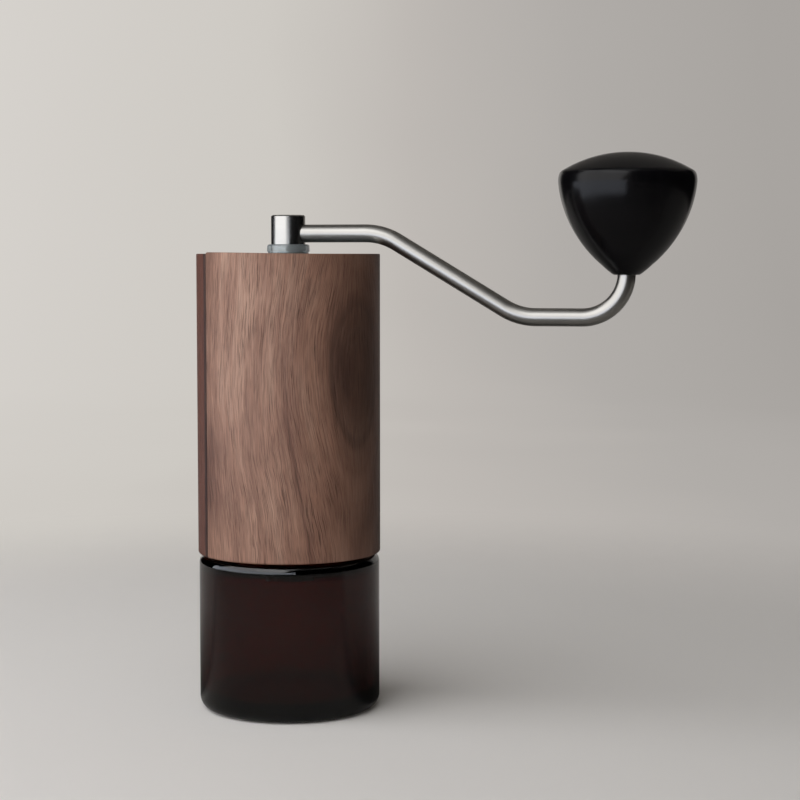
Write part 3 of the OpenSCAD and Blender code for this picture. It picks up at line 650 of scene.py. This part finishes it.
def make_jar():
    """Revolves the glass wall's outline.

    It starts in the middle of the hollowed base and goes out over the ring that the jar stands on,
    round the foot, up the wall, over the shoulder and up the threaded neck. Inside it goes down to
    the middle of the floor.
    """
    in_r = JAR_R - GLASS_T
    # the last point only gives the way along the ring that the jar stands on
    base = [
        (0, BASE_RECESS),
        (BASE_RECESS_R, BASE_RECESS),
        (BASE_STAND_R, BASE_STAND_Z),
        (2 * BASE_STAND_R, BASE_STAND_Z),
    ]
    outline = np.concatenate([
        [[0, BASE_RECESS]],
        rounded(base, (0, 1.5, 1.2, 0))[1:-1],
        arc(JAR_R - JAR_FOOT_R, JAR_FOOT_R, JAR_FOOT_R, -90, 0, 14),
        straight((JAR_R, JAR_FOOT_R + 0.5), (JAR_R, SHOULDER_Z - SHOULDER_R - 0.4), 4),
        arc(JAR_R - SHOULDER_R, SHOULDER_Z - SHOULDER_R, SHOULDER_R, 0, 90, 14),
        [[NECK_R + 1.0, SHOULDER_Z], [NECK_R + 0.3, SHOULDER_Z + 0.1], [NECK_R, SHOULDER_Z + 0.4]],
        straight((NECK_R, SHOULDER_Z + 0.6), (NECK_R, NECK_TOP - 0.5), 0.2),
        arc(NECK_R - NECK_RIM, NECK_TOP - NECK_RIM, NECK_RIM, 0, 90, 4),
        arc(NECK_IN_R + NECK_RIM, NECK_TOP - NECK_RIM, NECK_RIM, 90, 180, 4),
        straight((NECK_IN_R, NECK_TOP - 0.6), (NECK_IN_R, SHOULDER_Z - 0.6), 2),
        arc(in_r - JAR_CORNER_R, SHOULDER_Z - 2 * JAR_CORNER_R, JAR_CORNER_R, 80, 0, 10),
        straight(
            (in_r, SHOULDER_Z - 2 * JAR_CORNER_R - 0.5), (in_r, JAR_FLOOR + JAR_CORNER_R + 0.2), 4
        ),
        arc(in_r - JAR_CORNER_R, JAR_FLOOR + JAR_CORNER_R, JAR_CORNER_R, 0, -90, 10),
        [[20, JAR_FLOOR], [10, JAR_FLOOR], [0, JAR_FLOOR]],
    ])
    return lathe("amber_glass_jar", outline, even(288), relief=jar_relief)


# ---------------------------------------------------------------- the lid

def make_lid():
    """Revolves the lid's outline.

    From the hub's hole it goes under the plate to the seat, over the plate to the collar, and up
    the collar with its small flange.
    """
    # each corner and the radius that rounds it
    corners = {
        (LID_HOLE_R, lid_low[2]): 0.1,
        (COLLAR_R, lid_low[2]): 0.2,
        (COLLAR_R, LID_UNDER): 0.3,
        (LID_RIM_IN_R - LID_RIM_CHAMFER, LID_UNDER): 0.5,
        (LID_RIM_IN_R, LID_SEAT + LID_RIM_CHAMFER): 0.3,
        (LID_RIM_IN_R, LID_SEAT): 0.15,
        (LID_R, LID_SEAT): 0.3,
        (LID_R, LID_TOP): 0.7,
        (COLLAR_R + COLLAR_FLARE, LID_TOP): 0.3,
        (COLLAR_R - COLLAR_FLANGE, COLLAR_FLANGE_LOW): 0.2,
        (COLLAR_R + COLLAR_FLANGE, COLLAR_FLANGE_HIGH): 0.25,
        (COLLAR_R + COLLAR_LEAN, lid_high[2]): 0.7,
        (LID_HOLE_R, lid_high[2]): 0.15,
    }
    outline = rounded(list(corners), corners.values())
    return lathe("lid_with_collar", outline, even(192))


# ---------------------------------------------------------------- the crank rod

def rod_path():
    """Stations along the rod: place (x, z) and heading angle from +X.

    A straight of length l adds points along the heading. A bend of radius r and angle b adds points
    whose heading turns evenly while the place moves along a circle of radius r.
    """
    run = BEND_R * math.tan(SLOPE / 2)
    slope_length = DROP / math.sin(SLOPE)
    far_corner = CORNER + DROP / math.tan(SLOPE)
    # straight's length, bend's radius, bend's angle
    steps = [
        (CORNER - run - ROD_START, 0, 0),
        (0, BEND_R, -SLOPE),
        (slope_length - 2 * run, 0, 0),
        (0, BEND_R, SLOPE),
        (REACH - END_BEND_R - far_corner - run, 0, 0),
        (0, END_BEND_R, math.pi / 2),
        (END_STRAIGHT, 0, 0),
    ]
    place, heading = np.array([ROD_START, ROD_Z]), 0.0
    places, headings = [place[None]], [np.zeros(1)]
    for length, radius, bend in steps:
        if bend:
            n = int(np.ceil(abs(bend) / math.radians(2)))
            turn = heading + bend * np.arange(1, n + 1) / n
            side = np.sign(bend)
            centre = place + side * radius * np.array([-math.sin(heading), math.cos(heading)])
            added = centre + side * radius * np.stack([np.sin(turn), -np.cos(turn)], -1)
            heading += bend
        else:
            n = max(2, int(np.ceil(length / 3)))
            t = np.arange(1, n + 1)[:, None] / n
            added = place + t * length * np.array([math.cos(heading), math.sin(heading)])
            turn = np.full(n, heading)
        places.append(added)
        headings.append(turn)
        place = added[-1]
    return np.concatenate(places), np.concatenate(headings)


def make_rod(sides=64):
    """Sweeps a circle along the rod's path, then steps down to the turned spindle inside the knob.

    A point stands at its station plus radius times (cos phi along the path's normal, and sin phi
    along Y).
    """
    places, headings = rod_path()
    radii = np.full(len(places), ROD_R)
    radii[-1] -= ROD_CHAMFER
    # height over the rod's end, and radius there, with the clip's groove near the top
    ends = np.array([
        (0.0, SPINDLE_R + 0.05),
        (0.1, SPINDLE_R),
        (CLIP_GROOVE_LOW, SPINDLE_R),
        (CLIP_GROOVE_LOW, SPINDLE_R - CLIP_GROOVE),
        (CLIP_GROOVE_HIGH, SPINDLE_R - CLIP_GROOVE),
        (CLIP_GROOVE_HIGH, SPINDLE_R),
        (SPINDLE_H - SPINDLE_CHAMFER, SPINDLE_R),
        (SPINDLE_H, SPINDLE_R - SPINDLE_CHAMFER),
    ])
    spindle = places[-1] + ends[:, :1] * np.array([0.0, 1.0])
    places = np.concatenate([places, spindle])
    headings = np.concatenate([headings, np.full(len(ends), math.pi / 2)])
    radii = np.concatenate([radii, ends[:, 1]])
    phi = even(sides)
    normal = np.stack([-np.sin(headings), np.zeros_like(headings), np.cos(headings)], -1)
    spine = np.stack([places[:, 0], np.zeros(len(places)), places[:, 1]], -1)
    across = np.array([0.0, 1.0, 0.0])
    ring = np.cos(phi)[None, :, None] * normal[:, None] + np.sin(phi)[None, :, None] * across
    points = (spine[:, None] + radii[:, None, None] * ring).reshape(-1, 3)
    rows = len(places)
    quads, corners = grid_faces(rows, sides, False, True)
    length = lengths(places)
    uv = [
        np.stack([corners[..., 1] * TAU * ROD_R / sides, length[corners[..., 0]]], -1) * MM,
        np.zeros((sides, 3, 2)),
        np.full((sides, 3, 2), length[-1] * MM),
    ]
    points = np.concatenate([points, spine[[0, -1]]])
    start = fan(sides, 0, rows * sides, True)
    end = fan(sides, rows - 1, rows * sides + 1, False)
    return make_piece("brushed_steel_rod", points, [quads, start, end], uv)


# ---------------------------------------------------------------- the knob

def soften(points, reach, step=0.25):
    """Resamples the outline every step and averages each point with its neighbours within reach.

    A neighbour's weight falls evenly with its distance. Every third point is kept.
    """
    length = lengths(points)
    s = np.linspace(0, length[-1], int(length[-1] / step))
    offsets = np.linspace(-reach, reach, 9)
    weight = 1 - np.abs(offsets) / (reach * 1.1)
    room = np.minimum(1, np.minimum(s, length[-1] - s) / reach)
    out = np.zeros((len(s), 2))
    for offset, share in zip(offsets, weight / weight.sum()):
        at = np.clip(s + offset * room, 0, length[-1])
        out += share * np.stack([np.interp(at, length, points[:, k]) for k in (0, 1)], -1)
    return out[::3] if (len(out) - 1) % 3 == 0 else np.concatenate([out[::3], out[-1:]])


def make_knob():
    """Revolves half an outline from the bore's end, out round the foot, up the flank and over.

    The flank is an arc through the foot and the waist, upright at the waist, drawn in by
    KNOB_BELLY sin(pi t^lean) for t along it. The rim is a quarter of an ellipse, the dome an arc
    through the rim and the top, and the whole is softened over KNOB_SOFTNESS.
    """
    dx = KNOB_R - KNOB_FOOT_R
    flank_r = (dx * dx + KNOB_WAIST**2) / (2 * dx)
    flank_a = math.asin(KNOB_WAIST / flank_r)
    t = np.linspace(0, 1, 61)
    a = -flank_a * (1 - t)
    belly = KNOB_BELLY * np.sin(np.pi * t**KNOB_BELLY_LEAN)
    flank = np.stack(
        [KNOB_R - flank_r + flank_r * np.cos(a) - belly, KNOB_WAIST + flank_r * np.sin(a)], -1
    )
    flank[:, 0] += KNOB_FOOT_FLARE * np.clip(1 - flank[:, 1] / KNOB_FOOT_FLARE_H, 0, 1)
    dome_h = KNOB_H - KNOB_RIM
    dome_r = (KNOB_RIM_R**2 + dome_h**2) / (2 * dome_h)
    dome_a = math.asin(KNOB_RIM_R / dome_r)
    s = np.radians(np.linspace(0, 90, 25))[1:-1]
    rim = np.stack([
        KNOB_RIM_R + (KNOB_R - KNOB_RIM_R) * np.cos(s),
        KNOB_WAIST + (KNOB_RIM - KNOB_WAIST) * np.sin(s),
    ], -1)
    b = dome_a * (1 - np.linspace(0, 1, 41))
    dome = np.stack([dome_r * np.sin(b), KNOB_H - dome_r + dome_r * np.cos(b)], -1)
    shell = soften(np.concatenate([flank[1:], rim, dome]), KNOB_SOFTNESS)
    shell[:, 1] += KNOB_Z
    outline = np.concatenate([
        [[0, KNOB_BORE_TOP]],
        straight((KNOB_BORE_R, KNOB_BORE_TOP), (KNOB_BORE_R, KNOB_Z + 0.3), 2),
        [[KNOB_BORE_R + 0.12, KNOB_Z + 0.08], [KNOB_FOOT_R + 0.5, KNOB_Z + 0.05]],
        shell,
    ])
    outline[-1, 0] = 0
    return lathe("ebonised_knob", outline, even(192), centre_x=REACH)


# ---------------------------------------------------------------- the burr spring

def make_burr_spring(turns=5, per_turn=40, sides=20):
    """Wire wound round the axle.

    Its middle stands at (r cos t, r sin t, z), where z rises evenly with t, and a circle of the
    wire's radius is swept along it.
    """
    wire = SPRING_WIRE_R
    t = TAU * np.arange(turns * per_turn + 1) / per_turn
    z = np.linspace(spring_low[2] + wire, spring_high[2] - wire, len(t))
    phi = even(sides)
    reach = spring_high[0] - wire + wire * np.cos(phi)
    x, y = np.cos(t)[:, None] * reach, np.sin(t)[:, None] * reach
    points = np.stack([x, y, z[:, None] + wire * np.sin(phi)], -1).reshape(-1, 3)
    quads, _ = grid_faces(len(t), sides, False, True)
    ends = np.arange(sides)
    faces = [quads, ends[None, ::-1], ends[None] + (len(t) - 1) * sides]
    return make_piece("wound_burr_spring", points, faces)


# ---------------------------------------------------------------- finishes

# Crank rod: drawn stainless, brushed along its length, so its highlight is a soft even band
rod_steel = metal(
    "brushed_stainless_rod", "#9a9894", "#8d8b87", 0.28, 0.32, (0.417, 33.3, 1000), 0.0004, "UV"
)
# Hub and axle: turned stainless, with fine rings round the axis that spread light up and down
turned_steel = metal(
    "turned_stainless", "#a5a39f", "#979591", 0.22, 0.26, (16.7, 16.7, 0.417), 0.0005
)
# Body tube: drawn stainless, with fine lines along the body
tube_steel = metal("drawn_stainless_tube", "#c3c2bf", "#a3a19d", 0.28, 0.42, (0.667, 0.667, 33.3))
# Burrs: hardened steel, ground, grey with faint upright marks
burr_steel = metal("ground_burr_steel", "#8f9194", "#6c6e71", 0.3, 0.45, (1.11, 1.11, 7.14))
# Bearings and balls: ground and polished, nearly a mirror
bearing_steel = metal(
    "polished_bearing_steel", "#d2d3d4", "#b9babb", 0.08, 0.18, (3.33, 3.33, 0.556)
)
# Springs of drawn wire and their stamped washers: bright steel with slight scuffs
wire_steel = metal("drawn_spring_wire", "#b4b3b0", "#8d8c89", 0.22, 0.36, (1.11, 1.11, 1.11))
# Circlips: stamped and blackened, dark with a dull shine
black_steel = metal("blackened_spring_steel", "#3a3b3d", "#242527", 0.35, 0.5, (2, 2, 2))
# Dial nut: turned brass, yellow, with rings round the axis
brass = metal("turned_brass", "#c8a45c", "#a98443", 0.2, 0.34, (12.5, 12.5, 0.625))
# Bearing cages: pressed brass, brown and softly shining
cage_brass = metal("pressed_brass", "#a98457", "#876741", 0.3, 0.45, (2.5, 2.5, 2.5))
# Frames: glass-filled nylon, matt black from a spark-eroded mould
frame_nylon = polymer("moulded_black_nylon", "#1c1d1f", "#141517", 0.52)
# Dial: the same nylon from a finer mould, a little glossier
dial_nylon = polymer("fine_moulded_black_nylon", "#1b1c1e", "#131416", 0.46, 0.2)
# Lid: clear copolyester, a little blue, with a polished mould's gloss
clear_copolyester = polymer(
    "moulded_clear_copolyester", "#e4ebee", "#d7dfe3", 0.06, 0.6,
    Transmission_Weight=0.88, IOR=1.55,
)
# Jar seal: moulded silicone, milky and dull
silicone = polymer("moulded_milky_silicone", "#dfddd6", "#d2d0c9", 0.5, 0.5)
# Knob bush: turned acetal, ivory with a slight gloss
acetal = polymer("turned_acetal", "#dcd7c9", "#cfc9ba", 0.38, 0.4)

CAD_LOOKS = {
    tube_steel: ["body_tube"],
    frame_nylon: ["inner_frame", "upper_bridge"],
    dial_nylon: ["adjustment_dial"],
    burr_steel: ["outer_burr", "inner_burr"],
    turned_steel: ["axle", "crank_hub", "drive_pin"],
    black_steel: ["burr_circlip", "lid_circlip", "knob_clip"],
    bearing_steel: [
        "upper_bearing_outer_race", "lower_bearing_outer_race", "upper_bearing_inner_race",
        "lower_bearing_inner_race", "upper_bearing_shields", "lower_bearing_shields",
        "upper_bearing_balls", "lower_bearing_balls", "click_balls",
    ],
    cage_brass: ["upper_bearing_cage", "lower_bearing_cage"],
    wire_steel: ["click_springs", "upper_spring_washer", "lower_spring_washer"],
    brass: ["dial_nut"],
    silicone: ["jar_seal"],
    acetal: ["knob_bush"],
}
for material, names in CAD_LOOKS.items():
    for name in names:
        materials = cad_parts[name].data.materials
        materials.clear()
        materials.append(material)


# ---------------------------------------------------------------- pieces on their bodies

def dress(piece, body, node, material):
    """Puts a piece on its body in place of a CAD node, with its material."""
    piece.data.materials.append(material)
    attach(piece, body)
    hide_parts(node)
    return piece


dress(make_sleeve(), "housing", "veneer_sleeve", walnut_veneer())
dress(make_jar(), "jar", "glass_jar", amber_glass())
dress(make_lid(), "lid", "lid", clear_copolyester)
dress(make_rod(), "crank", "crank_rod", rod_steel)
dress(make_knob(), "knob", "knob", ebonised_wood())
burr_spring = dress(make_burr_spring(), "axle", "burr_spring", wire_steel)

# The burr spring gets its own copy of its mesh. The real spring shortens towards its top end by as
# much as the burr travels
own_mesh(burr_spring)


# ---------------------------------------------------------------- floor, backdrop, light and camera

# The camera stands VIEW_TURN round the axle and looks VIEW_DROP down. VIEW_PLACE is along its own
# right and forward, and every place and size here is in metres
VIEW_TURN = math.radians(12)
VIEW_DROP = math.radians(4.31)
VIEW_PLACE = (0.03657, -0.6203, 0.14835)
AIM = (0, 0, 0.08)
# tones of cards that only gloss sees: painted dark reflections of the room, and the floor's painted
# reflection, darker further out and, behind, darker close to the object as painted contact shade
BLACK_REFLECTION_TONES = ("#0b0b0c",) * 4
GREY_REFLECTION_TONES = ("#928f8b",) * 4
FLOOR_REFLECTION_TONES = ("#a09d99", "#a5a29e", "#85827f", "#6c6966")
REAR_FLOOR_SHADE_TONES = ("#4f4d4a", "#b3b0ac", "#c0bdb9", "#c0bdb9")


def turned(x, y, z):
    """A point given along the camera's own right and forward, turned into the frame's axes."""
    c, s = math.cos(VIEW_TURN), math.sin(VIEW_TURN)
    return (x * c - y * s, x * s + y * c, z)


def around(azimuth, rise, distance):
    """A point seen from AIM at azimuth degrees to the camera's right and rise degrees up."""
    a, e = math.radians(azimuth), math.radians(rise)
    flat = distance * math.cos(e)
    x, y, z = turned(flat * math.sin(a), -flat * math.cos(a), distance * math.sin(e))
    return (x + AIM[0], y + AIM[1], z + AIM[2])


def stage_mesh(name, points, faces, material):
    """A smooth-shaded mesh in metres that isn't part of the grinder."""
    mesh = bpy.data.meshes.new(name)
    mesh.from_pydata(points, [], faces)
    mesh.shade_smooth()
    mesh.materials.append(material)
    thing = bpy.data.objects.new(name, mesh)
    bpy.context.scene.collection.objects.link(thing)
    return thing


def studio_board():
    """Matt painted board, its colour lighter to the window's side as painted light.

    It takes light and shadow close to the object. Between 0.2 and 0.48 m away, what camera, gloss
    and glass see changes to a glow of painted light, lighter to the window's side, so that the
    backdrop is even from every side.
    """
    g = Finish("painted_studio_board")
    place = g.add("TexCoord").outputs["Object"]
    away = g.add("VectorMath LENGTH", place)
    across = g.add("VectorMath DOT_PRODUCT", place, turned(1, 0, 0))
    mottle = g.add("Math MULTIPLY_ADD", g.add("TexNoise", place, 2.2, 2), 0.16, -0.08)
    tone = g.add("Math ADD", g.add("MapRange", across, -0.5, 0.5), mottle)
    # painted light: the board's colour is lighter to the window's side and darker away from it
    g.set(
        Base_Color=g.add("Mix", tone, "#fbf8f4", "#cecbc7", **RGBA),
        Roughness=0.9,
        Specular_IOR_Level=0.0,
    )
    # painted light: the glow's tone runs from light on the window's side to darker away from it,
    # with mottle
    painted_light_tone = g.add("ValToRGB", tone, stops=(
        (0.0, "#d6d2cd"), (1.0, "#a7a39f"), (0.36, "#cdc9c3"), (0.56, "#beb9b4"), (0.76, "#b0aca8"),
    ))
    glow = g.add("Emission", Color=painted_light_tone, Strength=1.0)
    path = g.add("LightPath").outputs
    seen = g.add("Math ADD", path["Is Camera Ray"], path["Is Glossy Ray"])
    seen = g.add("Math ADD", seen, path["Is Transmission Ray"], use_clamp=True)
    share = g.add("Math MULTIPLY", seen, g.add("MapRange", away, 0.2, 0.48, **SMOOTH))
    g.end("Surface", g.add("MixShader", share, g.shader, glow))
    return g.material


def make_bowl(sides=96, bend_r=0.5, floor_r=1.4, wall_top=2.6):
    """A pale floor that curves up all round into a wall, so that every view has the same backdrop.

    Its outline is the floor out to floor_r, a quarter circle of radius bend_r, and the wall.
    """
    bend = np.linspace(0, math.pi / 2, 17)[1:]
    floor = np.linspace(0.02, floor_r, 24)
    radius = np.concatenate([floor, floor_r + bend_r * np.sin(bend), [floor_r + bend_r]])
    height = np.concatenate([0 * floor, bend_r - bend_r * np.cos(bend), [wall_top]])
    r, angle = np.meshgrid(radius, even(sides), indexing="ij")
    z = np.repeat(height[:, None], sides, axis=1)
    points = np.stack([r * np.cos(angle), r * np.sin(angle), z], -1).reshape(-1, 3)
    quads, _ = grid_faces(len(radius), sides, False, True)
    middle = fan(sides, 0, len(points), True)
    faces = quads[:, ::-1].tolist() + middle[:, ::-1].tolist()
    stage_mesh("studio_bowl", np.concatenate([points, [[0, 0, 0]]]), faces, studio_board())


def make_card(name, start, end, steps, inner, outer, centre, material):
    """A card bent round centre from azimuth start to end in degrees, which only gloss sees.

    It spans two arcs, inner and outer, each given as (distance, height).
    """
    t = np.radians(np.linspace(start, end, steps + 1))
    arcs = []
    for reach, z in (inner, outer):
        x, y = centre[0] + reach * np.sin(t), centre[1] - reach * np.cos(t)
        arcs.append(np.stack(turned(x, y, np.full_like(t, z)), -1))
    faces, _ = grid_faces(2, steps + 1, False, False)
    card = stage_mesh(name, np.concatenate(arcs), faces.tolist(), material)
    card.visible_camera = card.visible_diffuse = False
    card.visible_shadow = card.visible_transmission = False


def make_flag(name, middle, half, inner, outer, tones=BLACK_REFLECTION_TONES, soft=12.0):
    """A card round the object, a painted reflection with painted shade, whose two ends fade over
    soft degrees.

    It reaches half degrees to each side of azimuth middle, and from the inner to the outer
    (distance, height). tones are its colours 50, 200, 400 and 900 mm from the origin.
    """
    g = Finish(name + "_painted_reflection")
    place = g.add("TexCoord").outputs["Object"]
    toward = turned(math.sin(math.radians(middle)), -math.cos(math.radians(middle)), 0)
    beside = (-toward[1], toward[0], 0.0)
    ahead = g.add("VectorMath DOT_PRODUCT", place, toward)
    aside = g.add("VectorMath DOT_PRODUCT", place, beside)
    azimuth = g.add("Math DEGREES", g.add("Math ARCTAN2", aside, ahead))
    turn = g.add("Math ABSOLUTE", azimuth)
    tone = g.add("ValToRGB", g.add("VectorMath LENGTH", place), stops=(
        (0.05, tones[0]), (0.9, tones[3]), (0.2, tones[1]), (0.4, tones[2]),
    ))
    g.set(
        Base_Color=tone,
        Alpha=g.add("MapRange", turn, half - soft, half, 1.0, 0.0, **SMOOTH),
        Roughness=1.0,
        Specular_IOR_Level=0.0,
    )
    make_card(name, middle - half, middle + half, 32, inner, outer, (0, 0), g.material)


def make_reflector(name, centre, distance, start, end, low, high, tone, strength):
    """A glowing white card that only gloss sees, a painted window reflection, bent round centre,
    softer towards its foot.
    """
    g = Finish(name + "_card")
    _, _, z = g.add("SeparateXYZ", g.add("TexCoord").outputs["Object"]).outputs
    fade = g.add("MapRange", z, low, low + 0.2 * (high - low), **SMOOTH)
    glow = g.add("Emission", Color=tone, Strength=strength)
    g.end("Surface", g.add("MixShader", fade, g.add("BsdfTransparent"), glow))
    make_card(name, start, end, 16, (distance, low), (distance, high), centre, g.material)


def area_light(name, place, size, power, tint="#ffffff"):
    """A softbox at place, facing AIM."""
    lamp = bpy.data.lights.new(name, "AREA")
    lamp.shape = "RECTANGLE"
    lamp.size, lamp.size_y = size
    lamp.energy = power
    lamp.color = colour(tint)[:3]
    light = bpy.data.objects.new(name, lamp)
    light.location = place
    light.rotation_euler = (Vector(AIM) - Vector(place)).to_track_quat("-Z", "Y").to_euler()
    bpy.context.scene.collection.objects.link(light)


make_bowl()
# cards that only gloss sees: painted dark reflections to the right, left and behind, and the
# floor's painted reflection with painted shade
make_flag("right_flag", 69, 73, (0.95, 0.005), (0.95, 1.1))
make_flag("left_flag", -127, 33, (0.95, 0.005), (0.95, 1.1), soft=6.0)
make_flag("back_flag", 150, 90, (1.2, 0.5), (0.1, 1.3), GREY_REFLECTION_TONES, 40.0)
make_flag("floor_flag", 0, 180, (0.0282, 0.0006), (0.95, 0.0006), FLOOR_REFLECTION_TONES, 0.1)
make_flag("rear_floor_flag", 165, 105, (0.031, 0.0012), (0.9, 0.0012), REAR_FLOOR_SHADE_TONES, 20.0)
# painted reflection of a window, for the knob's flank
make_reflector("window_card", (0.108, 0.023), 0.35, -97, -8, 0.04, 0.15, "#e9effc", 3.0)
area_light("window_softbox", around(-52, 30, 1.05), (2.0, 1.3), 16.0, "#fbfcff")
area_light("front_panel", around(-20, 58, 1.2), (0.9, 1.2), 2.4)

world = bpy.data.worlds.new("studio_room")
world.use_nodes = True
background = world.node_tree.nodes["Background"]
background.inputs["Color"].default_value = colour("#d8d6d3")
background.inputs["Strength"].default_value = 0.12
bpy.context.scene.world = world
bpy.context.scene.view_settings.view_transform = "Standard"

lens = bpy.data.cameras.new("camera")
lens.lens = 85
lens.sensor_width = 36
camera = bpy.data.objects.new("camera", lens)
camera.location = turned(*VIEW_PLACE)
look = Vector(turned(0.0, math.cos(VIEW_DROP), 0.0)) + Vector((0, 0, -math.sin(VIEW_DROP)))
camera.rotation_euler = look.to_track_quat("-Z", "Y").to_euler()
bpy.context.scene.collection.objects.link(camera)
bpy.context.scene.camera = camera
